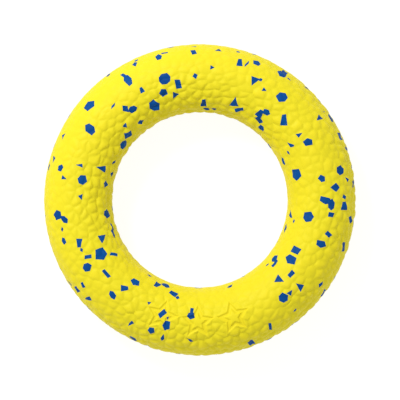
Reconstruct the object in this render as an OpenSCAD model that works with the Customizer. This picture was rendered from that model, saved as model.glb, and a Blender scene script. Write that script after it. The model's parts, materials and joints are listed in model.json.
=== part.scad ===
// Foam toss ring: one thick moulded ring with coloured foam chips set flush in its skin.
// The ring lies flat with its axis on +Z, its origin under its centre where it rests, and 12 o'clock at +Y.
// A clock angle runs clockwise seen from above. A tube angle is 0 on top of the tube, 90 on its outside,
// -90 in the hole and 180 underneath.

/* [Ring] */
// Outside diameter of the ring
ring_d = 155; // [120:1:200]
// Diameter of the ring's round section
tube_d = 34; // [26:1:40]
// Height of the narrow straight land round the hole, where the two mould halves meet
land_h = 3; // [2:0.5:6]

/* [Chips] */
// How far a chip reaches into the ring
chip_depth = 2; // [1.2:0.1:4]
// Size of the chips against their listed sizes
chip_grain = 1; // [0.7:0.05:1.1]

/* [Mark] */
// Clock angle of the middle of the engraved row of stars
mark_clock = 181; // [0:1:359]
// Number of stars in the row
star_count = 3; // [1:1:5]
// Distance from one star's middle to the next, along the top of the tube
star_pitch = 18; // [14:0.5:24]
// Distance from a star's middle to its points
star_r = 8; // [6:0.5:10]
// Width of the engraved line that draws a star
star_line = 1.6; // [1:0.1:2.2]
// Depth of the engraving
mark_depth = 0.8; // [0.4:0.1:1.1]

/* [Hidden] */
tube_r = tube_d / 2;
mean_r = (ring_d - tube_d) / 2;
// Radius of the straight land, where it meets the round section at its top and bottom edges
hole_r = mean_r - sqrt(tube_r * tube_r - land_h * land_h / 4);
hour = 30;
// The chips underneath repeat those on top, seen in a mirror and turned by this many whole hours
back_hours = 5;
// How far the cutting prism of a chip stands out of the skin
chip_stand = 2;
// A star's inner corners lie at this share of the distance to its points
star_waist = 0.5;
ring_steps = 180;
foam_yellow = "#F3E232";
foam_blue = "#104F93";

// Chip outlines, each in a box from -1 to 1
TRI = [[-1, -1], [1, -0.8], [0.1, 1]];
WDG = [[-1, -0.5], [0.5, -1], [1, 0.1], [0.9, 1]];
KIT = [[-0.1, -1], [1, 0.1], [0.1, 1], [-1, 0.2]];
SLB = [[-1, -0.9], [0.9, -1], [1, 0.7], [-0.8, 1]];
TRP = [[-0.9, -1], [1, -1], [0.6, 1], [-0.4, 0.9]];
PEN = [[-0.7, -1], [0.6, -0.9], [1, 0.1], [0.1, 1], [-1, 0.4]];
HEX = [[-0.5, -1], [0.5, -0.9], [1, -0.1], [0.6, 0.8], [-0.3, 1], [-1, 0.2]];
LMP = [[-0.6, -1], [0.3, -1], [0.9, -0.5], [1, 0.3], [0.5, 1], [-0.5, 0.9], [-1, 0.3], [-1, -0.4]];
SLV = [[-1, -0.4], [0.2, -1], [1, 0.3], [-0.3, 1]];

// Chips on top: clock angle, tube angle, length round the ring, width across the tube, turn, outline
CHIPS = [
    [7, 60, 3.4, 2.6, 0, TRI], [14.5, 68, 2, 1.8, 0, PEN], [16, 39, 3.4, 4.4, 10, TRP],
    [19, 41, 1.2, 5.4, -15, SLV], [22.5, 52, 4.1, 3.8, 0, PEN], [24.5, 14, 4.6, 4.8, 180, TRI],
    [26.8, 22, 2, 1.8, 30, SLV], [5, 18, 2.4, 2.2, 150, TRI], [2, -48, 3.3, 5.2, 0, TRP],
    [4, -66, 3.4, 2.2, 0, HEX], [8.7, -64, 2.7, 1.8, 5, SLV], [19.3, -33, 4.8, 5.6, 10, TRI],
    [23.6, -45, 2.2, 5.2, -45, SLB],
    [33, 58, 5.2, 4.8, 20, HEX], [33.5, 69, 3.2, 4, 0, SLB], [36.3, 56, 2.8, 1.1, 0, SLV],
    [30, 8, 2.3, 2.2, 150, TRI], [38.5, 16, 6.1, 4.9, 38, HEX], [43.5, 78, 3.8, 2.4, 0, KIT],
    [58, 76, 5.2, 3.4, 0, PEN], [55.6, 41, 3.1, 4, 190, TRI], [54.5, 67, 1, 1, 0, KIT],
    [37.2, -21, 4, 3.2, 0, PEN], [34.5, -30, 4, 4.6, 0, TRP], [36.3, -43, 4.3, 3.2, -20, SLB],
    [40.5, -55, 3.8, 3.4, -30, HEX], [46.2, -11, 3.9, 5.6, 46, TRP], [56.6, -5, 2.4, 3.2, 0, TRI],
    [58.4, -28, 3.8, 2.6, 15, WDG],
    [65.5, 72, 4.2, 4.2, 0, SLB], [70, 80, 4.4, 3, 20, WDG], [78, 39, 5.2, 4.2, -10, HEX],
    [82, 52, 2.8, 2, 10, TRI], [84, 73, 4.2, 2.6, 0, HEX], [88.8, 41, 2.8, 2.4, 20, KIT],
    [84.7, 24, 4.6, 5, 0, KIT], [80, 3, 4, 3.2, 30, PEN], [61.7, 0, 3.9, 4.8, 152, PEN],
    [61.8, -40, 2.7, 1.1, 0, SLV], [65, -63, 4.4, 2.6, 0, HEX], [75.3, -41, 6.2, 5.8, -20, PEN],
    [90.3, 6.5, 3.7, 6.4, -20, PEN], [92, 16, 6, 3.5, 0, HEX], [92.3, 41, 3.9, 4.2, 90, TRP],
    [96.4, 17, 2.5, 3, 0, SLB], [97.5, 64, 4, 3.6, 0, PEN], [108, 61, 5.2, 2.8, 20, SLB],
    [105, 19, 2.4, 3.4, -25, SLB], [110, 12, 3.8, 5.2, 0, PEN], [98.8, -22, 5.8, 5.4, -10, HEX],
    [117.6, -24, 3.7, 4.8, 5, SLB], [98.6, -62, 4.2, 3.4, 0, WDG], [102.7, -50, 2.3, 1.3, 0, SLV],
    [108.5, -70, 5.4, 2.2, 0, SLV],
    [123.4, -24, 6.2, 4.8, -90, PEN], [129, -8, 3.8, 2.4, 0, SLB], [135.8, -18, 4.8, 4.2, -100, TRI],
    [131, 16, 3.8, 4.4, 185, TRI], [125, 49, 3.6, 2.6, 0, SLV], [127, 76, 4.4, 3.2, 10, SLB],
    [135.6, 12, 2.8, 3, 100, TRI], [139.5, 11, 5.2, 4.8, 0, HEX], [139.3, 45, 2.5, 1.3, 10, SLV],
    [128, -53, 4.4, 3.4, 0, HEX], [130.2, -45, 4.6, 2, 5, SLB], [134, -57, 2.4, 1.2, 0, SLV],
    [151, 44, 1.5, 4.6, -15, SLB], [160.2, 67, 3, 6.4, 10, SLB], [161, -64, 3.8, 2, 10, SLV],
    [184, 34, 3.6, 1.3, -35, SLV], [184.5, -10, 4, 3.4, 0, PEN], [184.2, -19, 1.8, 3, 0, SLB],
    [195.2, 38, 2, 4.6, 0, KIT], [195, 14, 4, 5, 0, PEN], [195.2, 1, 1.3, 1.8, 20, TRI],
    [200.5, 31, 3.6, 3.8, 10, PEN], [198.4, -4, 2.6, 4.6, -30, SLB], [206.2, -12, 2, 1.6, 20, TRI],
    [205.8, 75, 4.4, 3.6, 0, HEX], [209, 36, 2.2, 4, 0, WDG], [192.9, -41, 2.2, 2.6, 0, KIT],
    [195.8, -47, 4.4, 3, -15, SLB], [202, -62, 4.8, 3.4, 0, HEX], [206.7, -53, 3.4, 4, -15, TRP],
    [218.3, -31, 5, 3.6, 10, PEN], [220.6, -11, 3.4, 3.7, 131, TRP], [222.6, 12, 5, 2.9, -15, HEX],
    [228.3, 54, 3, 4.6, 0, WDG], [234, 64, 3.6, 3.4, 0, SLB], [237.6, 76, 4.6, 2, 0, SLV],
    [234, 42, 3.1, 1.8, -10, SLB], [213.8, -67, 2.7, 1.5, 0, SLV], [231.8, -5, 5.2, 1.9, 5, SLB],
    [239.2, 16, 4.6, 4.6, 20, HEX], [237.8, -37, 1.8, 4.6, -35, SLB],
    [243.1, 6, 2, 3.8, -15, SLB], [241.6, -17, 6.2, 6.6, 232, PEN], [247.2, 11, 2.4, 1.5, -10, SLV],
    [250.3, 10, 3.3, 4.4, 70, TRP], [248.2, -30, 4.6, 4.4, 73, TRI], [253.3, 37, 3.8, 2.3, 5, PEN],
    [258, 34, 2.6, 1.5, -20, SLV], [264, 39, 5.1, 4.6, 0, PEN], [261.8, 26, 4.9, 2.9, 37, HEX],
    [249, -60, 4.8, 2.8, 0, HEX], [253, -64, 3.8, 2.2, 0, SLB], [261.6, -57, 4.7, 4.8, 0, HEX],
    [271.6, -4, 3.1, 2.3, -10, TRI], [279.7, -5, 4.9, 4.9, 90, HEX], [286, 6, 1.9, 3.8, 10, TRI],
    [279.2, 27, 2.2, 3, 170, TRI], [283, 39, 3.8, 3, -20, PEN], [285.4, 63, 3.5, 3, 0, WDG],
    [282.5, 74, 4.4, 2.2, -5, SLV], [295, 60, 3.7, 2, 0, TRI], [287.7, -33, 3.5, 5.8, 5, TRI],
    [279.6, -52, 3.9, 4, 0, KIT], [286.3, -63, 2.8, 2.2, 0, TRI], [293.7, -57, 2.8, 1.7, -20, SLV],
    [310.6, 44, 6.6, 5, -15, PEN], [302.8, 15, 4.8, 6.2, -20, HEX], [317.3, 10, 3.9, 1.2, 10, SLV],
    [320.8, -8, 3.4, 4.6, 10, KIT], [323.4, -16, 5, 3.4, -10, HEX], [314.8, -31, 2.7, 2.5, 180, TRI],
    [306, -57, 4.6, 4.8, 0, LMP], [312.3, -48, 4.4, 4, -20, SLB], [322.8, -46, 3.6, 3.2, 0, KIT],
    [329, 32, 4, 6.6, 0, HEX], [328.4, 46, 1.8, 3.6, 20, SLB], [323.7, 78, 2.6, 2.6, 0, PEN],
    [334.2, -32, 5.6, 6.4, 190, HEX], [341, -15, 4.2, 4.2, 90, PEN], [346.4, -24, 3.9, 3.4, 20, TRI],
    [349.3, -7, 3, 4.9, 5, SLB], [343.8, 7, 5.8, 5.4, -10, LMP], [332, 4, 2.6, 2.8, 0, TRP],
    [334.4, 58, 3, 4, 0, KIT], [335.5, 68, 2.6, 2, 20, SLV], [343.9, 53, 3.4, 4.6, 0, PEN],
    [346.4, 60, 3.6, 1.3, -5, SLB], [357.8, 3, 2.8, 3, 20, KIT], [357.5, 50, 2.6, 3.4, 20, SLB],
    [357.6, 69, 2.8, 1.8, 0, WDG],
];

// Chips on the ring's widest line and round its hole, which no chip underneath repeats
RIM_CHIPS = [
    [7, 92, 3.6, 3, 10, KIT], [20.5, 85, 2.6, 2.4, 0, PEN], [50, 90, 3.4, 4, 30, TRI],
    [78, 90, 4.8, 4, 80, PEN], [91, 95, 2.4, 1.8, 0, SLB], [99, 86, 4, 3, 0, WDG],
    [106, 94, 3, 4.2, 20, SLV], [120, 91, 3, 4.4, 0, HEX], [134, 88, 2.2, 2, 0, TRI],
    [142, 92, 4.4, 3, 20, TRP], [154, 90, 3.8, 4.6, -20, LMP], [173, 94, 3.6, 3.6, 0, PEN],
    [188, 87, 2.8, 4, 40, SLV], [200, 88, 3.4, 2.6, 0, SLB], [226, 90, 4.6, 3.4, 60, HEX],
    [244, 90, 2.8, 4.4, -15, KIT], [253, 94, 4.8, 3.4, -30, PEN], [264.4, 85, 3.4, 3, 0, KIT],
    [270.5, 93, 3, 2.4, 0, WDG], [290.5, 88, 3.4, 3.6, 0, HEX], [302.6, 86, 4.6, 3, 0, WDG],
    [332, 91, 4, 3.2, -20, PEN], [341, 93, 2.2, 2.6, 0, TRI], [349, 85, 3.4, 3.8, 20, SLB],
    [25, -92, 3.4, 3.6, 0, PEN], [52, -86, 3, 2.4, 0, SLB], [84, -93, 4, 3, 20, HEX],
    [118, -88, 3.2, 4, 0, TRI], [150.5, -88, 3, 3.2, 0, KIT], [181, -86, 4.2, 2.6, 0, HEX],
    [205, -93, 2.8, 3.4, 0, TRP], [229, -90, 3.6, 3, 0, TRI], [264, -87, 3, 3.8, -20, WDG],
    [276, -92, 4, 2.8, 0, SLB], [307, -90, 3.4, 3.4, 0, LMP], [338, -88, 3.4, 3, 0, PEN],
];
// More chips for the underside only, where the mark keeps the top bare
UNDER_CHIPS = [
    [154, 20, 4.6, 4, 0, HEX], [158, -8, 3.4, 3, 20, KIT], [156, -40, 4, 3.2, -10, PEN],
    [164, 40, 3.6, 4.2, 0, TRP], [166, 8, 5.4, 4.6, 30, LMP], [168, -30, 3, 3.8, 0, TRI],
    [174, 28, 4.2, 3.4, -20, SLB], [173, -6, 2.6, 1.6, 0, SLV], [175, -50, 4.2, 3, 0, HEX],
    [177, 60, 3, 2.6, 0, WDG], [168, 72, 3.6, 2.4, 0, SLB],
];

HOURS = [for (h = [0:11]) h];
function hour_name(h) = h == 0 ? 12 : h;

// A ring with a round section of this radius, round the same circle as the whole ring
module round_ring(section_r) {
    translate([0, 0, tube_r])
        rotate_extrude($fn = ring_steps)
            translate([mean_r, 0])
                circle(r = section_r, $fn = 120);
}

// Puts its children on the skin, with +Z out of it, +X clockwise and +Y away from the top of the tube
module on_skin(clock, tube) {
    translate([0, 0, tube_r])
        rotate([0, 0, -clock])
            translate([0, mean_r, 0])
                rotate([-tube, 0, 0])
                    translate([0, 0, tube_r])
                        children();
}

function star_points(r) =
    [for (i = [0:9]) (i % 2 == 0 ? r : r * star_waist) * [sin(36 * i), cos(36 * i)]];

// The line round a star: between two stars of one shape, whose edges lie star_line apart
module star_outline() {
    half_point = atan(star_waist * sin(36) / (1 - star_waist * cos(36)));
    difference() {
        polygon(star_points(star_r));
        polygon(star_points(star_r - star_line / sin(half_point)));
    }
}

// The row of stars, cut to an even depth below the skin
module mark_cut() {
    star_step = star_pitch / mean_r * 180 / PI;
    intersection() {
        for (i = [0:star_count - 1])
            rotate([0, 0, -(mark_clock + (i - (star_count - 1) / 2) * star_step)])
                translate([0, mean_r, tube_d * 0.6])
                    rotate([0, 0, 180])
                        linear_extrude(height = tube_d)
                            star_outline();
        difference() {
            round_ring(tube_r + 1);
            round_ring(tube_r - mark_depth);
        }
    }
}

// The whole moulded shape, chips included
module moulding() {
    difference() {
        round_ring(tube_r);
        cylinder(h = tube_d, r = hole_r, $fn = ring_steps);
        mark_cut();
    }
}

// A straight prism through the skin, with a chip's outline
module chip_prism(chip, back = false) {
    flip = back ? -1 : 1;
    turn = chip[4];
    outline = [for (p = chip[5]) [p.x * chip[2], p.y * chip[3] * flip] * chip_grain / 2];
    on_skin(chip[0] + (back ? back_hours * hour : 0), back ? 180 - chip[1] : chip[1])
        rotate([0, 0, turn * flip])
            translate([0, 0, -chip_depth])
                linear_extrude(height = chip_depth + chip_stand)
                    polygon(outline);
}

// The prisms of the chips in one hour of the clock face
module hour_prisms(h, back = false) {
    listed = back ? (h - back_hours + 12) % 12 : h;
    for (chip = concat(CHIPS, back ? UNDER_CHIPS : RIM_CHIPS))
        if (floor(chip[0] / hour) == listed)
            chip_prism(chip, back);
}

module foam_body() {
    color(foam_yellow)
        difference() {
            moulding();
            for (h = HOURS) {
                hour_prisms(h);
                hour_prisms(h, back = true);
            }
        }
}

// A chip near the end of its hour gives way to the next hour's chips, as on a smaller ring
module chips_front(h) {
    color(foam_blue)
        difference() {
            intersection() {
                moulding();
                hour_prisms(h);
            }
            hour_prisms((h + 1) % 12);
        }
}

module chips_back(h) {
    color(foam_blue)
        difference() {
            intersection() {
                moulding();
                hour_prisms(h, back = true);
            }
            hour_prisms((h + 1) % 12, back = true);
        }
}

foam_body();
for (h = HOURS) {
    chips_front(h);
    chips_back(h);
}
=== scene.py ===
"""Looks of a foam toss ring: a thick ring of yellow bead foam, with blue foam chips flush in its skin.

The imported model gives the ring's size and every chip's place. This file gives the ring its cobbled skin,
its engraved stars and its mould line, and beds the chips in that skin. It also sets up the materials, the
light and the camera.
"""

import json
import math

import bmesh
import bpy
import numpy as np
from bpy.props import FloatProperty, FloatVectorProperty, IntProperty, PointerProperty, StringProperty
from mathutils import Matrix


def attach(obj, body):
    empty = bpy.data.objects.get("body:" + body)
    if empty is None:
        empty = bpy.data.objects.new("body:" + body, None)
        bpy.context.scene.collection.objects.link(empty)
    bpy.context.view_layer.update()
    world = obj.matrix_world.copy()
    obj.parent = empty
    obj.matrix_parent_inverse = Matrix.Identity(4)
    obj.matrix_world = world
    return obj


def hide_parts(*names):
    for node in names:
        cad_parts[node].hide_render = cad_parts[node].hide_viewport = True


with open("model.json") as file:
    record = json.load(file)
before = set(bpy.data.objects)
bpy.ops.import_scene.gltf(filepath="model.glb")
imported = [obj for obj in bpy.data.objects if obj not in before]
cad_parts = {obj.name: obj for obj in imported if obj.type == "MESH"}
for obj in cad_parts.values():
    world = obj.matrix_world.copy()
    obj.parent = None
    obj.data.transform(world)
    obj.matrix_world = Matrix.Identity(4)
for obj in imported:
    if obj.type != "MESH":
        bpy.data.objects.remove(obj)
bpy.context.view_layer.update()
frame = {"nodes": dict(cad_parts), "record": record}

bl_info = {
    "name": "Foam Toss Ring",
    "version": (1, 0, 0),
    "blender": (4, 5, 0),
    "location": "View3D > Sidebar > Foam Ring",
    "description": "Builds the skin, the chips, the materials and the studio of a moulded foam toss ring",
    "category": "Object",
}

CAD_SIZE = frame["record"]["size"]["bbox_m"]
RING_D = float(CAD_SIZE[0])
TUBE_D = float(CAD_SIZE[2])
CHIP_NODES = sorted(name for name in frame["nodes"] if name.startswith("chips_"))
BODY_NODE = "foam_body"
MM = 0.001

# The skin's beads: how far each is pushed off its place, in places, and how much one may outgrow another
BEAD_PUSH = 0.42
BEAD_GROWTH = 0.3
# How far the creases wander off a straight course, and over what length
WANDER = 0.45 * MM
WANDER_PITCH = 3.1 * MM
CREASE_ROUNDING = 0.9 * MM
# Broad and fine unevenness of the skin
UNEVEN = 0.1 * MM
ROUGH = 0.05 * MM
# The mould line, and the calmer band that it lies in
SEAM_WIDTH = 0.35 * MM
SEAM_CALM_WIDTH = 4 * MM
# A point this little below the round section belongs to a chip's top, and is raised this far above it
CHIP_TOP = 1.25 * MM
CHIP_STAND = 1.0 * MM
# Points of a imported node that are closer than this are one
WELD = 0.002 * MM
SHARP_EDGE = math.radians(38)


# --------------------------------------------------------------------------------------------------
# Settings


class RingShape(bpy.types.PropertyGroup):
    """Sizes of the ring and its skin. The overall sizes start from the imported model."""

    ring_d: FloatProperty(
        name="Ring diameter",
        description="Outside diameter of the ring",
        default=RING_D,
        min=0.05,
        unit="LENGTH",
        subtype="DISTANCE",
    )
    tube_d: FloatProperty(
        name="Tube diameter",
        description="Diameter of the ring's round section",
        default=TUBE_D,
        min=0.01,
        unit="LENGTH",
        subtype="DISTANCE",
    )
    grid_step: FloatProperty(
        name="Grid step",
        description="Distance between two points of the skin's mesh",
        default=0.52 * MM,
        min=0.2 * MM,
        precision=5,
        unit="LENGTH",
        subtype="DISTANCE",
    )
    mark_step: FloatProperty(
        name="Grid step at the stars",
        description="Distance between two points of the skin's mesh where the stars are engraved",
        default=0.18 * MM,
        min=0.1 * MM,
        precision=5,
        unit="LENGTH",
        subtype="DISTANCE",
    )
    cobble_pitch: FloatProperty(
        name="Cobble size",
        description="Usual distance between the middles of two beads that show in the skin",
        default=4.3 * MM,
        min=2 * MM,
        precision=5,
        unit="LENGTH",
        subtype="DISTANCE",
    )
    cobble_depth: FloatProperty(
        name="Cobble depth",
        description="How far the creases between beads lie below the beads",
        default=1.15 * MM,
        min=0.0,
        precision=5,
        unit="LENGTH",
        subtype="DISTANCE",
    )
    crease_width: FloatProperty(
        name="Crease width",
        description="How far from a crease the skin has risen most of the way",
        default=2.0 * MM,
        min=0.2 * MM,
        precision=5,
        unit="LENGTH",
        subtype="DISTANCE",
    )
    seam_height: FloatProperty(
        name="Mould line height",
        description="Height of the fine line where the two halves of the mould meet",
        default=0.12 * MM,
        min=0.0,
        precision=5,
        unit="LENGTH",
        subtype="DISTANCE",
    )
    calm_side: FloatProperty(
        name="Calm side",
        description="Clock angle that the smoother side of the tube faces",
        default=math.radians(322),
        subtype="ANGLE",
        unit="ROTATION",
    )
    seed: IntProperty(
        name="Skin seed",
        description="Picks another scatter of beads in the skin",
        default=7,
        min=0,
    )


class StarMark(bpy.types.PropertyGroup):
    """The engraved row of stars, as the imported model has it."""

    clock: FloatProperty(
        name="Place",
        description="Clock angle of the middle star, clockwise from twelve o'clock",
        default=math.radians(181),
        subtype="ANGLE",
        unit="ROTATION",
    )
    count: IntProperty(name="Stars", description="How many stars are in the row", default=3, min=1, max=5)
    pitch: FloatProperty(
        name="Spacing",
        description="Distance from one star's middle to the next, along the top of the tube",
        default=18 * MM,
        min=10 * MM,
        precision=5,
        unit="LENGTH",
        subtype="DISTANCE",
    )
    reach: FloatProperty(
        name="Reach",
        description="Distance from a star's middle to its points",
        default=8 * MM,
        min=3 * MM,
        precision=5,
        unit="LENGTH",
        subtype="DISTANCE",
    )
    waist: FloatProperty(
        name="Waist",
        description="Distance to a star's inner corners, as a share of the distance to its points",
        default=0.5,
        min=0.3,
        max=0.7,
    )
    line: FloatProperty(
        name="Line width",
        description="Width of the engraved line that draws a star",
        default=1.6 * MM,
        min=0.5 * MM,
        precision=5,
        unit="LENGTH",
        subtype="DISTANCE",
    )
    depth: FloatProperty(
        name="Depth",
        description="Depth of the engraving",
        default=0.8 * MM,
        min=0.1 * MM,
        precision=5,
        unit="LENGTH",
        subtype="DISTANCE",
    )


class FoamLook(bpy.types.PropertyGroup):
    """Colours of the two foams and of the painted shade in the ring's creases, as sRGB hex values."""

    yellow: StringProperty(
        name="Ring foam",
        description="Colour of the ring's foam",
        default="#E5D421",
    )
    # Painted shade: in the creases between beads the ring's colour moves towards this darker, greener yellow
    yellow_crease_shade: StringProperty(
        name="Ring foam in its creases",
        description="Colour of the ring's foam between beads",
        default="#D3C91B",
    )
    blue: StringProperty(
        name="Chip foam",
        description="Usual colour of the chips",
        default="#00498F",
    )
    blue_deep: StringProperty(
        name="Darkest chip foam",
        description="Colour of the darkest chips",
        default="#004082",
    )


class StudioLook(bpy.types.PropertyGroup):
    """The floor, the lights and the camera."""

    floor: StringProperty(
        name="Floor",
        description="Colour of the floor",
        default="#808080",
    )
    floor_radius: FloatProperty(
        name="Floor radius",
        description="Radius of the round floor",
        default=8.0,
        min=0.5,
        unit="LENGTH",
        subtype="DISTANCE",
    )
    floor_glow: FloatProperty(
        name="Floor glow",
        description="Strength of the light that the floor gives by itself",
        default=0.86,
        min=0.0,
    )
    sky: FloatProperty(
        name="Soft fill",
        description="Strength of the light from all round",
        default=0.72,
        min=0.0,
    )
    key: FloatProperty(
        name="Key light",
        description="Power of the soft lamp",
        default=16.8,
        min=0.0,
        unit="POWER",
    )
    key_size: FloatProperty(
        name="Key light's size",
        description="Diameter of the soft lamp",
        default=0.45,
        min=0.01,
        unit="LENGTH",
        subtype="DISTANCE",
    )
    key_place: FloatVectorProperty(
        name="Key light's place",
        description="Where the soft lamp stands, seen from the ring's middle",
        default=(-0.66, 0.84, 1.19),
        unit="LENGTH",
        subtype="XYZ",
    )
    lens: FloatProperty(
        name="Lens",
        description="Focal length",
        default=600.0,
        min=20.0,
        unit="CAMERA",
    )
    ring_share: FloatProperty(
        name="Ring in frame",
        description="Ring's diameter as a share of the picture's width",
        default=0.779,
        min=0.1,
        max=1.0,
    )


# --------------------------------------------------------------------------------------------------
# Shapes


def linear_rgba(hex_colour):
    """An sRGB hex colour such as #104F93 as linear red, green and blue, and 1, which a shader takes."""
    srgb = [int(hex_colour[i : i + 2], 16) / 255 for i in (1, 3, 5)]
    return [c / 12.92 if c <= 0.04045 else ((c + 0.055) / 1.055) ** 2.4 for c in srgb] + [1.0]


def smooth_step(x):
    """0 below 0 and 1 above 1, and between them 3 x squared less 2 x cubed."""
    x = np.clip(x, 0.0, 1.0)
    return x * x * (3 - 2 * x)


def torus_points(shape, clock, tube, lift=0.0):
    """Points at a clock angle and a tube angle, lifted off the tube's skin.

    The distance from the ring's axis is the mean radius plus the lifted tube radius times the sine of the
    tube angle. The height over the ring's middle is the lifted tube radius times its cosine."""
    radius = shape.tube_d / 2
    lifted = radius + lift
    out = (shape.ring_d - shape.tube_d) / 2 + lifted * np.sin(tube)
    return np.stack([out * np.sin(clock), out * np.cos(clock), radius + lifted * np.cos(tube)], axis=-1)


def torus_angles(shape, points):
    """Clock angle, tube angle and distance from the tube's middle of each point: torus_points backwards."""
    out = np.hypot(points[:, 0], points[:, 1]) - (shape.ring_d - shape.tube_d) / 2
    up = points[:, 2] - shape.tube_d / 2
    return np.arctan2(points[:, 0], points[:, 1]), np.arctan2(out, up), np.hypot(out, up)


def lattice_noise(points, pitch, seed):
    """Smooth noise from -1 to 1: random values on a cubic lattice of this pitch, blended between corners."""
    table = np.random.default_rng(seed).uniform(-1, 1, (32, 32, 32))
    cell = np.floor(points / pitch).astype(int)
    part = smooth_step(points / pitch - cell)
    total = np.zeros(len(points))
    for corner in np.ndindex(2, 2, 2):
        weight = np.prod(np.where(corner, part, 1 - part), axis=1)
        x, y, z = ((cell + corner) % 32).T
        total += weight * table[x, y, z]
    return total


def bead_distances(shape, clock, tube):
    """Distances to the nearest and the next nearest bead middle, and the nearest bead's number from 0 to 1.

    The beads lie in rows along the ring, as many to a row as its length holds, each pushed off its place at
    random. A point looks at its own row and the two on each side, and at five beads in each. A bead's number
    is random and makes it larger, by taking something off its distance."""
    rng = np.random.default_rng(shape.seed)
    turn = 2 * math.pi
    rows = round(turn * shape.tube_d / 2 / shape.cobble_pitch)
    row_angle = np.arange(rows) * turn / rows
    row_length = turn * ((shape.ring_d - shape.tube_d) / 2 + shape.tube_d / 2 * np.sin(row_angle))
    per_row = np.round(row_length / shape.cobble_pitch).astype(int)
    most = per_row.max()
    clock_push, tube_push = rng.uniform(-BEAD_PUSH, BEAD_PUSH, (2, rows, most))
    lot = rng.random((rows, most))
    middles = torus_points(
        shape,
        (np.arange(most)[None, :] + clock_push) * turn / per_row[:, None],
        row_angle[:, None] + tube_push * turn / rows,
    )
    here = torus_points(shape, clock, tube)
    # Pushes each point a little before it looks, so that the creases wander instead of running straight
    wander = [lattice_noise(here, WANDER_PITCH, shape.seed + k) for k in (11, 12, 13)]
    here = here + WANDER * np.stack(wander, axis=1)
    first = np.full(len(here), 1.0)
    second = np.full(len(here), 1.0)
    own = np.zeros(len(here))
    row = np.round(tube / (turn / rows)).astype(int)
    for row_offset in (-2, -1, 0, 1, 2):
        at_row = (row + row_offset) % rows
        beads = per_row[at_row]
        nearest = np.round(clock / turn * beads).astype(int)
        for bead_offset in (-2, -1, 0, 1, 2):
            at_bead = (nearest + bead_offset) % beads
            chance = lot[at_row, at_bead]
            away = np.linalg.norm(here - middles[at_row, at_bead], axis=1)
            away -= BEAD_GROWTH * shape.cobble_pitch * chance
            closer = away < first
            second = np.where(closer, first, np.minimum(second, away))
            own = np.where(closer, chance, own)
            first = np.where(closer, away, first)
    return first, second, own


def star_lines(shape, mark, clock, tube):
    """From 0 to 1, how far a point lies in a star's engraved line, and how near it is to a star, from above.

    A star is folded onto one tenth of itself, where its edge is one straight line. The engraving runs in
    from that edge for the width of the line, with a soft shoulder on both sides."""
    points = torus_points(shape, clock, tube)
    mean_r = (shape.ring_d - shape.tube_d) / 2
    step = mark.pitch / mean_r
    tip = np.array([0.0, mark.reach])
    tenth = math.pi / 5
    corner = mark.reach * mark.waist * np.array([math.sin(tenth), math.cos(tenth)])
    edge = (corner - tip) / np.linalg.norm(corner - tip)
    outward = np.array([-edge[1], edge[0]])
    shoulder = 0.6 * mark.line
    inside = np.zeros(len(points))
    near = np.zeros(len(points))
    top = np.cos(tube) > 0
    for k in range(mark.count):
        at = mark.clock + (k - (mark.count - 1) / 2) * step
        away = points[:, :2] - mean_r * np.array([math.sin(at), math.cos(at)])
        # The stars' upper points look towards the ring's middle
        right = -(away @ np.array([math.cos(at), -math.sin(at)]))
        up = -(away @ np.array([math.sin(at), math.cos(at)]))
        angle = np.abs((np.arctan2(right, up) + tenth) % (2 * tenth) - tenth)
        reach = np.hypot(right, up)
        folded = np.stack([reach * np.sin(angle), reach * np.cos(angle)], axis=1)
        past_edge = (folded - tip) @ outward
        from_middle = np.abs(past_edge + mark.line / 2)
        line = smooth_step((mark.line / 2 + shoulder / 2 - from_middle) / shoulder)
        inside = np.maximum(inside, line * top)
        near = np.maximum(near, smooth_step(1 - past_edge / mark.line) * top)
    return inside, near


def skin_lift(shape, mark, clock, tube):
    """How far the skin lies above or below the round section, and from 0 to 1 how deep in a crease it is.

    Each bead is a low dome that falls away into a soft crease, where the nearest two beads are equally near.
    Broad noise makes the skin bolder in some places than in others and the ring slightly uneven. Where the
    skin faces the calm side it is calmer, by a hyperbolic tangent of how far it faces there. It is also
    calmer where the mould closes. A fine raised line runs round there, outside and in the hole. The stars are
    sunk in skin that is almost smooth."""
    first, second, own = bead_distances(shape, clock, tube)
    points = torus_points(shape, clock, tube)
    gap = np.sqrt((second - first) ** 2 + CREASE_ROUNDING**2) - CREASE_ROUNDING
    edge = 1 - np.exp(-gap / shape.crease_width)
    dome = 1 - (np.maximum(first, 0) / shape.cobble_pitch) ** 2
    bold = 0.95 + 0.3 * lattice_noise(points, 17 * MM, shape.seed + 21)
    bold += 0.15 * lattice_noise(points, 7 * MM, shape.seed + 22)
    facing = np.sin(tube) * np.cos(clock - shape.calm_side)
    bold = np.clip(bold, 0.3, 1.3) * (1 - 0.5 * np.tanh(2.5 * facing))
    across = np.abs(np.abs(tube) - math.pi / 2) * shape.tube_d / 2
    bold *= 1 - 0.45 * np.exp(-((across / SEAM_CALM_WIDTH) ** 2))
    line, near = star_lines(shape, mark, clock, tube)
    calm = bold * (1 - 0.76 * near) * (1 - 0.9 * line)
    # How deep in a crease a point lies; the yellow material paints shade into the creases from this
    crease = (1 - edge) * calm
    # Rise from the crease, roundness of the bead, a few beads proud of others, and the skin's middle height
    lift = shape.cobble_depth * calm * (0.45 * edge + 0.55 * dome + 0.35 * (own - 0.5) * edge - 0.9)
    lift += UNEVEN * lattice_noise(points, 26 * MM, shape.seed + 31)
    lift += ROUGH * lattice_noise(points, 1.9 * MM, shape.seed + 41) * calm
    broken = 0.75 + 0.25 * lattice_noise(points, 6 * MM, shape.seed + 51)
    lift += shape.seam_height * broken * np.exp(-((across / SEAM_WIDTH) ** 2))
    lift -= mark.depth * line
    return lift, np.clip(crease, 0, 1)


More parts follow.
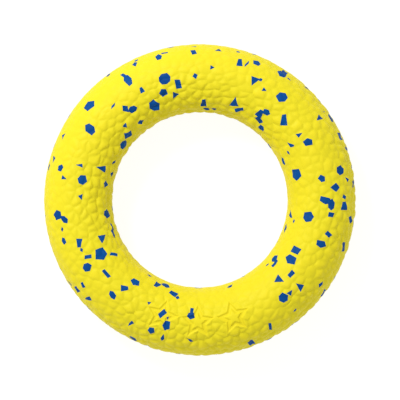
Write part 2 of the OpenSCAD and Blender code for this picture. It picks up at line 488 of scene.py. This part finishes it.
def uneven_steps(fine_from, fine_to, fine_step, coarse_step):
    """Angles once round, close together from fine_from to fine_to and wider apart over the rest."""
    fine = round((fine_to - fine_from) / fine_step)
    rest = 2 * math.pi - (fine_to - fine_from)
    coarse = round(rest / coarse_step)
    first = np.linspace(fine_from, fine_to, fine, endpoint=False)
    return np.concatenate([first, fine_to + np.arange(coarse) * rest / coarse])


def ring_mesh(shape, mark):
    """The whole ring's skin as a closed mesh: a grid of clock angles by tube angles, lifted by skin_lift.

    Both angles go once round, so the grid's last row and column join its first. The grid is closer at the
    stars."""
    mean_r = (shape.ring_d - shape.tube_d) / 2
    tube_r = shape.tube_d / 2
    half_row = ((mark.count - 1) / 2 * mark.pitch + mark.reach * 1.15) / mean_r
    clocks = uneven_steps(
        mark.clock - half_row, mark.clock + half_row, shape.mark_step / mean_r, shape.grid_step / mean_r
    )
    half_star = math.asin(mark.reach * 1.1 / tube_r)
    tubes = uneven_steps(-half_star, half_star, shape.mark_step / tube_r, shape.grid_step / tube_r)
    columns, rows = len(clocks), len(tubes)
    clock, tube = (grid.ravel() for grid in np.meshgrid(clocks, tubes, indexing="ij"))
    lift, _ = skin_lift(shape, mark, clock, (tube + math.pi) % (2 * math.pi) - math.pi)
    points = torus_points(shape, clock, tube, lift)
    column, row = (grid.ravel() for grid in np.meshgrid(np.arange(columns), np.arange(rows), indexing="ij"))
    next_column, next_row = (column + 1) % columns, (row + 1) % rows
    quads = np.stack(
        [
            column * rows + row,
            next_column * rows + row,
            next_column * rows + next_row,
            column * rows + next_row,
        ],
        axis=1,
    )
    return mesh_from_arrays("foam_ring_blank", points, quads)


def mesh_from_arrays(name, points, faces):
    """A mesh of these points, with one polygon for each row of faces."""
    mesh = bpy.data.meshes.new(name)
    mesh.vertices.add(len(points))
    mesh.vertices.foreach_set("co", np.ascontiguousarray(points, np.float32).ravel())
    corners = faces.shape[1]
    mesh.loops.add(faces.size)
    mesh.loops.foreach_set("vertex_index", faces.astype(np.int32).ravel())
    mesh.polygons.add(len(faces))
    mesh.polygons.foreach_set("loop_start", np.arange(0, faces.size, corners, dtype=np.int32))
    mesh.update(calc_edges=True)
    mesh.validate()
    return mesh


def welded_triangles(nodes):
    """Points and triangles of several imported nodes, with the points that triangles share made one."""
    all_points, all_triangles, count = [], [], 0
    for name in nodes:
        mesh = frame["nodes"][name].data
        mesh.calc_loop_triangles()
        points = np.empty(len(mesh.vertices) * 3)
        mesh.vertices.foreach_get("co", points)
        triangles = np.empty(len(mesh.loop_triangles) * 3, np.int32)
        mesh.loop_triangles.foreach_get("vertices", triangles)
        all_points.append(points.reshape(-1, 3))
        all_triangles.append(triangles.reshape(-1, 3) + count)
        count += len(mesh.vertices)
    points, triangles = np.concatenate(all_points), np.concatenate(all_triangles)
    _, kept, joined = np.unique(np.round(points / WELD), axis=0, return_index=True, return_inverse=True)
    triangles = joined.reshape(-1)[triangles]
    whole = (
        (triangles[:, 0] != triangles[:, 1])
        & (triangles[:, 1] != triangles[:, 2])
        & (triangles[:, 2] != triangles[:, 0])
    )
    return points[kept], triangles[whole]


def chip_cutter(shape, name, nodes):
    """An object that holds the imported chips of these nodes, with their tops raised clear of the skin.

    A point that lies less than CHIP_TOP below the round section belongs to a chip's top. It moves straight
    out of the tube, so that the chip's sides reach through the cobbled skin and its floor stays in place."""
    points, triangles = welded_triangles(nodes)
    clock, tube, away = torus_angles(shape, points)
    top = away > shape.tube_d / 2 - CHIP_TOP
    raised = torus_points(shape, clock, tube, CHIP_STAND)
    points[top] = raised[top]
    mesh = mesh_from_arrays(name, points, triangles)
    return linked(name, mesh)


# --------------------------------------------------------------------------------------------------
# Objects


def linked(name, mesh):
    """A new object for this mesh, in the scene."""
    made = bpy.data.objects.new(name, mesh)
    bpy.context.scene.collection.objects.link(made)
    return made


def combined(name, base, tool, operation):
    """A new mesh: base less tool, or what base and tool share. Both are closed solids."""
    step = base.modifiers.new("combine", "BOOLEAN")
    step.operation = operation
    step.solver = "MANIFOLD"
    step.object = tool
    evaluated = base.evaluated_get(bpy.context.evaluated_depsgraph_get())
    mesh = bpy.data.meshes.new_from_object(evaluated)
    base.modifiers.remove(step)
    mesh.name = name
    if not mesh.polygons:
        raise RuntimeError(f"{name}: the solids could not be combined")
    without_middle_points(mesh)
    return mesh


def without_middle_points(mesh):
    """Takes out the points where only two edges meet, which lie in the middle of a straight side.

    Left in, they would give slivers when the faces on both sides are cut into triangles."""
    ends = np.empty(len(mesh.edges) * 2, np.int32)
    mesh.edges.foreach_get("vertices", ends)
    meeting = np.bincount(ends, minlength=len(mesh.vertices))
    editable = bmesh.new()
    editable.from_mesh(mesh)
    editable.verts.ensure_lookup_table()
    middle = [editable.verts[k] for k in np.flatnonzero(meeting == 2)]
    bmesh.ops.dissolve_verts(editable, verts=middle)
    editable.to_mesh(mesh)
    editable.free()


def finished(name, mesh, material, nodes, crease=None):
    """Puts a finished mesh in the scene, as a piece that rides on the ring and stands for these nodes."""
    mesh.shade_smooth()
    mesh.set_sharp_from_angle(angle=SHARP_EDGE)
    mesh.materials.clear()
    mesh.materials.append(material)
    piece = linked(name, mesh)
    # The crease depth, from which the yellow material paints shade into the creases
    if crease is not None:
        store = mesh.attributes.new("crease", "FLOAT", "POINT")
        store.data.foreach_set("value", crease.astype(np.float32))
    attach(piece, "root")
    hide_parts(*nodes)
    return piece


def vertex_points(mesh):
    """The mesh's points as an array."""
    points = np.empty(len(mesh.vertices) * 3)
    mesh.vertices.foreach_get("co", points)
    return points.reshape(-1, 3)


def removed(thing):
    """Takes an object that was only a tool out of the file, with its mesh."""
    mesh = thing.data
    bpy.data.objects.remove(thing)
    bpy.data.meshes.remove(mesh)


# --------------------------------------------------------------------------------------------------
# Materials


def add_node(tree, kind, settings=None, values=None, links=None):
    """Adds a shader node, sets its settings and socket values, and links other nodes' outputs to it."""
    node = tree.nodes.new(kind)
    for name, value in (settings or {}).items():
        setattr(node, name, value)
    for name, value in (values or {}).items():
        node.inputs[name].default_value = value
    for name, output in (links or {}).items():
        tree.links.new(output, node.inputs[name])
    return node


def new_material(name):
    """An empty node material and its tree."""
    material = bpy.data.materials.new(name)
    material.use_nodes = True
    material.node_tree.nodes.clear()
    return material, material.node_tree


def per_metre(size):
    """A texture scale that gives details of this size, in metres, on Object coordinates."""
    return 1.0 / size


def foam_skin_bump(tree, coordinates, strength):
    """Normal of a moulded closed-cell skin: shallow pores of 0.45 mm over an even grain of 0.9 mm.

    Real pores are 0.1 to 0.2 mm, too fine to show, so they are drawn about three times as coarse."""
    pores = add_node(
        tree, "ShaderNodeTexVoronoi", {"feature": "SMOOTH_F1"},
        {"Scale": per_metre(0.45 * MM), "Smoothness": 0.6}, {"Vector": coordinates},
    )
    grain = add_node(
        tree, "ShaderNodeTexNoise", {}, {"Scale": per_metre(0.9 * MM), "Detail": 3.0, "Roughness": 0.6},
        {"Vector": coordinates},
    )
    fine = add_node(
        tree, "ShaderNodeBump", {}, {"Strength": strength, "Distance": 0.06 * MM},
        {"Height": pores.outputs["Distance"]},
    )
    return add_node(
        tree, "ShaderNodeBump", {}, {"Strength": strength, "Distance": 0.09 * MM},
        {"Height": grain.outputs["Fac"], "Normal": fine.outputs["Normal"]},
    ).outputs["Normal"]


def bead_foam_yellow(look):
    """Moulded closed-cell bead foam, as the ring's own material.

    It gives the eye a soft satin skin: an even, saturated yellow, with painted shade that makes it slightly
    deeper and greener in the creases between beads, with a fine grain that breaks up the highlight."""
    material, tree = new_material("bead_foam_yellow")
    place = add_node(tree, "ShaderNodeTexCoord").outputs["Object"]
    crease = add_node(tree, "ShaderNodeAttribute", {"attribute_name": "crease"}).outputs["Fac"]
    mottle = add_node(
        tree, "ShaderNodeTexNoise", {}, {"Scale": per_metre(7 * MM), "Detail": 2.0, "Roughness": 0.5},
        {"Vector": place},
    )
    # Painted shade: the deeper in a crease, the further the colour moves towards the crease colour, up to 0.4
    depth = add_node(
        tree, "ShaderNodeMapRange", {}, {"From Min": 0.15, "From Max": 0.95, "To Min": 0.0, "To Max": 0.4},
        {"Value": crease},
    )
    uneven = add_node(
        tree, "ShaderNodeMapRange", {}, {"From Min": 0.3, "From Max": 0.7, "To Min": 0.0, "To Max": 0.16},
        {"Value": mottle.outputs["Fac"]},
    )
    # Share of the crease colour: painted crease shade plus random mottling
    share = add_node(
        tree, "ShaderNodeMath", {"operation": "ADD", "use_clamp": True}, {},
        {0: depth.outputs["Result"], 1: uneven.outputs["Result"]},
    )
    colour = add_node(
        tree, "ShaderNodeMix", {"data_type": "RGBA"},
        {"A": linear_rgba(look.yellow), "B": linear_rgba(look.yellow_crease_shade)}, {"Factor": share.outputs[0]},
    )
    roughness = add_node(
        tree, "ShaderNodeMapRange", {}, {"From Min": 0.3, "From Max": 0.7, "To Min": 0.5, "To Max": 0.6},
        {"Value": mottle.outputs["Fac"]},
    )
    shader = add_node(
        tree, "ShaderNodeBsdfPrincipled", {},
        {"IOR": 1.49, "Specular IOR Level": 0.14},
        {
            "Base Color": colour.outputs["Result"],
            "Roughness": roughness.outputs["Result"],
            "Normal": foam_skin_bump(tree, place, 0.35),
        },
    )
    add_node(tree, "ShaderNodeOutputMaterial", {}, {}, {"Surface": shader.outputs["BSDF"]})
    return material


def cut_foam_blue(look):
    """Cut scraps of closed-cell foam, moulded into the skin.

    They give the eye flat, crisp patches of strong blue with the ring's own satin finish. Neighbouring chips
    differ a little, as scraps from different sheets do."""
    material, tree = new_material("cut_foam_blue")
    place = add_node(tree, "ShaderNodeTexCoord").outputs["Object"]
    lot = add_node(
        tree, "ShaderNodeTexNoise", {}, {"Scale": per_metre(16 * MM), "Detail": 1.0, "Roughness": 0.5},
        {"Vector": place},
    )
    share = add_node(
        tree, "ShaderNodeMapRange", {}, {"From Min": 0.35, "From Max": 0.65, "To Min": 0.0, "To Max": 1.0},
        {"Value": lot.outputs["Fac"]},
    )
    colour = add_node(
        tree, "ShaderNodeMix", {"data_type": "RGBA"},
        {"A": linear_rgba(look.blue), "B": linear_rgba(look.blue_deep)}, {"Factor": share.outputs["Result"]},
    )
    roughness = add_node(
        tree, "ShaderNodeMapRange", {}, {"From Min": 0.3, "From Max": 0.7, "To Min": 0.48, "To Max": 0.58},
        {"Value": lot.outputs["Fac"]},
    )
    shader = add_node(
        tree, "ShaderNodeBsdfPrincipled", {},
        {"IOR": 1.49, "Specular IOR Level": 0.1},
        {
            "Base Color": colour.outputs["Result"],
            "Roughness": roughness.outputs["Result"],
            "Normal": foam_skin_bump(tree, place, 0.35),
        },
    )
    add_node(tree, "ShaderNodeOutputMaterial", {}, {}, {"Surface": shader.outputs["BSDF"]})
    return material


def light_table_acrylic(look):
    """Opal acrylic sheet lit from below, as a light table has.

    It gives the eye a clean white ground that holds only a trace of the ring's shadow."""
    material, tree = new_material("light_table_acrylic")
    place = add_node(tree, "ShaderNodeTexCoord").outputs["Object"]
    tooth = add_node(
        tree, "ShaderNodeTexNoise", {}, {"Scale": per_metre(1.5 * MM), "Detail": 2.0}, {"Vector": place},
    )
    relief = add_node(
        tree, "ShaderNodeBump", {}, {"Strength": 0.05, "Distance": 0.05 * MM},
        {"Height": tooth.outputs["Fac"]},
    )
    shader = add_node(
        tree, "ShaderNodeBsdfPrincipled", {},
        {
            "Base Color": linear_rgba(look.floor),
            "Roughness": 0.9,
            "Specular IOR Level": 0.2,
            "Emission Color": (1.0, 1.0, 1.0, 1.0),
            "Emission Strength": look.floor_glow,
        },
        {"Normal": relief.outputs["Normal"]},
    )
    add_node(tree, "ShaderNodeOutputMaterial", {}, {}, {"Surface": shader.outputs["BSDF"]})
    return material


# --------------------------------------------------------------------------------------------------
# Operators


class FOAMRING_OT_body(bpy.types.Operator):
    """Build the yellow foam ring, with a pocket for every chip"""

    bl_idname = "foamring.body"
    bl_label = "Foam Ring"

    def execute(self, context):
        scene = context.scene
        blank = linked("ring_blank", ring_mesh(scene.foam_ring_shape, scene.foam_ring_mark))
        cutter = chip_cutter(scene.foam_ring_shape, "all_chips_cutter", CHIP_NODES)
        mesh = combined("foam_ring", blank, cutter, "DIFFERENCE")
        removed(cutter)
        removed(blank)
        clock, tube, _ = torus_angles(scene.foam_ring_shape, vertex_points(mesh))
        # Crease depth of each point, for the painted crease shade
        _, crease = skin_lift(scene.foam_ring_shape, scene.foam_ring_mark, clock, tube)
        material = bead_foam_yellow(scene.foam_ring_look)
        ring = finished("foam_ring", mesh, material, [BODY_NODE], crease)
        return {"FINISHED"}


class FOAMRING_OT_chips(bpy.types.Operator):
    """Build the blue foam chips, each flush with the skin round it"""

    bl_idname = "foamring.chips"
    bl_label = "Foam Chips"

    def execute(self, context):
        scene = context.scene
        blank = linked("ring_blank", ring_mesh(scene.foam_ring_shape, scene.foam_ring_mark))
        material = cut_foam_blue(scene.foam_ring_look)
        for node in CHIP_NODES:
            cutter = chip_cutter(scene.foam_ring_shape, node + "_cutter", [node])
            mesh = combined(node + "_inlay", cutter, blank, "INTERSECT")
            removed(cutter)
            chips = finished(node + "_inlay", mesh, material, [node])
        removed(blank)
        return {"FINISHED"}


class FOAMRING_OT_studio(bpy.types.Operator):
    """Build the floor, the soft light and the camera above the ring"""

    bl_idname = "foamring.studio"
    bl_label = "Studio"

    def execute(self, context):
        scene = context.scene
        studio = scene.foam_ring_studio
        turn = np.linspace(0, 2 * math.pi, 96, endpoint=False)
        rim = studio.floor_radius * np.stack([np.cos(turn), np.sin(turn), 0 * turn], axis=1)
        mesh = bpy.data.meshes.new("studio_floor")
        mesh.from_pydata(rim.tolist(), [], [list(range(len(rim)))])
        mesh.materials.append(light_table_acrylic(studio))
        linked("studio_floor", mesh)

        world = bpy.data.worlds.new("soft_fill")
        world.use_nodes = True
        background = world.node_tree.nodes["Background"]
        background.inputs["Color"].default_value = (1.0, 1.0, 1.0, 1.0)
        background.inputs["Strength"].default_value = studio.sky
        scene.world = world

        lamp = bpy.data.lights.new("key_softbox", "AREA")
        lamp.shape = "DISK"
        lamp.size = studio.key_size
        lamp.energy = studio.key
        key = linked_light("key_softbox", lamp, studio.key_place)

        lens = bpy.data.cameras.new("overhead_camera")
        lens.lens = studio.lens
        lens.clip_end = 50.0
        camera = bpy.data.objects.new("overhead_camera", lens)
        scene.collection.objects.link(camera)
        shape = scene.foam_ring_shape
        width = shape.ring_d / studio.ring_share
        camera.location = (0.0, 0.0, shape.tube_d / 2 + width * studio.lens / lens.sensor_width)
        scene.camera = camera
        scene.view_settings.view_transform = "Standard"
        return {"FINISHED"}


def linked_light(name, lamp, place):
    """A lamp at this place, aimed at the ring."""
    made = bpy.data.objects.new(name, lamp)
    bpy.context.scene.collection.objects.link(made)
    made.location = place
    made.rotation_euler = made.location.to_track_quat("Z", "Y").to_euler()
    return made


class FOAMRING_PT_panel(bpy.types.Panel):
    """Lists the steps that build the foam ring, with their settings"""

    bl_idname = "FOAMRING_PT_panel"
    bl_label = "Foam Toss Ring"
    bl_space_type = "VIEW_3D"
    bl_region_type = "UI"
    bl_category = "Foam Ring"

    def draw(self, context):
        for group in SETTINGS:
            box = self.layout.box()
            settings = getattr(context.scene, group)
            for name in settings.bl_rna.properties.keys():
                if name not in ("rna_type", "name"):
                    box.prop(settings, name)
        for operator in OPERATORS:
            self.layout.operator(operator.bl_idname)


SETTINGS = {
    "foam_ring_shape": RingShape,
    "foam_ring_mark": StarMark,
    "foam_ring_look": FoamLook,
    "foam_ring_studio": StudioLook,
}
OPERATORS = (FOAMRING_OT_body, FOAMRING_OT_chips, FOAMRING_OT_studio)


def register():
    """Adds the settings, the operators and the panel."""
    for name, group in SETTINGS.items():
        bpy.utils.register_class(group)
        setattr(bpy.types.Scene, name, PointerProperty(type=group))
    for operator in OPERATORS:
        bpy.utils.register_class(operator)
    bpy.utils.register_class(FOAMRING_PT_panel)


def unregister():
    """Takes them out again."""
    bpy.utils.unregister_class(FOAMRING_PT_panel)
    for operator in reversed(OPERATORS):
        bpy.utils.unregister_class(operator)
    for name, group in reversed(SETTINGS.items()):
        delattr(bpy.types.Scene, name)
        bpy.utils.unregister_class(group)


def main():
    """Builds every piece."""
    register()
    bpy.ops.foamring.body()
    bpy.ops.foamring.chips()
    bpy.ops.foamring.studio()


if __name__ == "__main__":
    main()
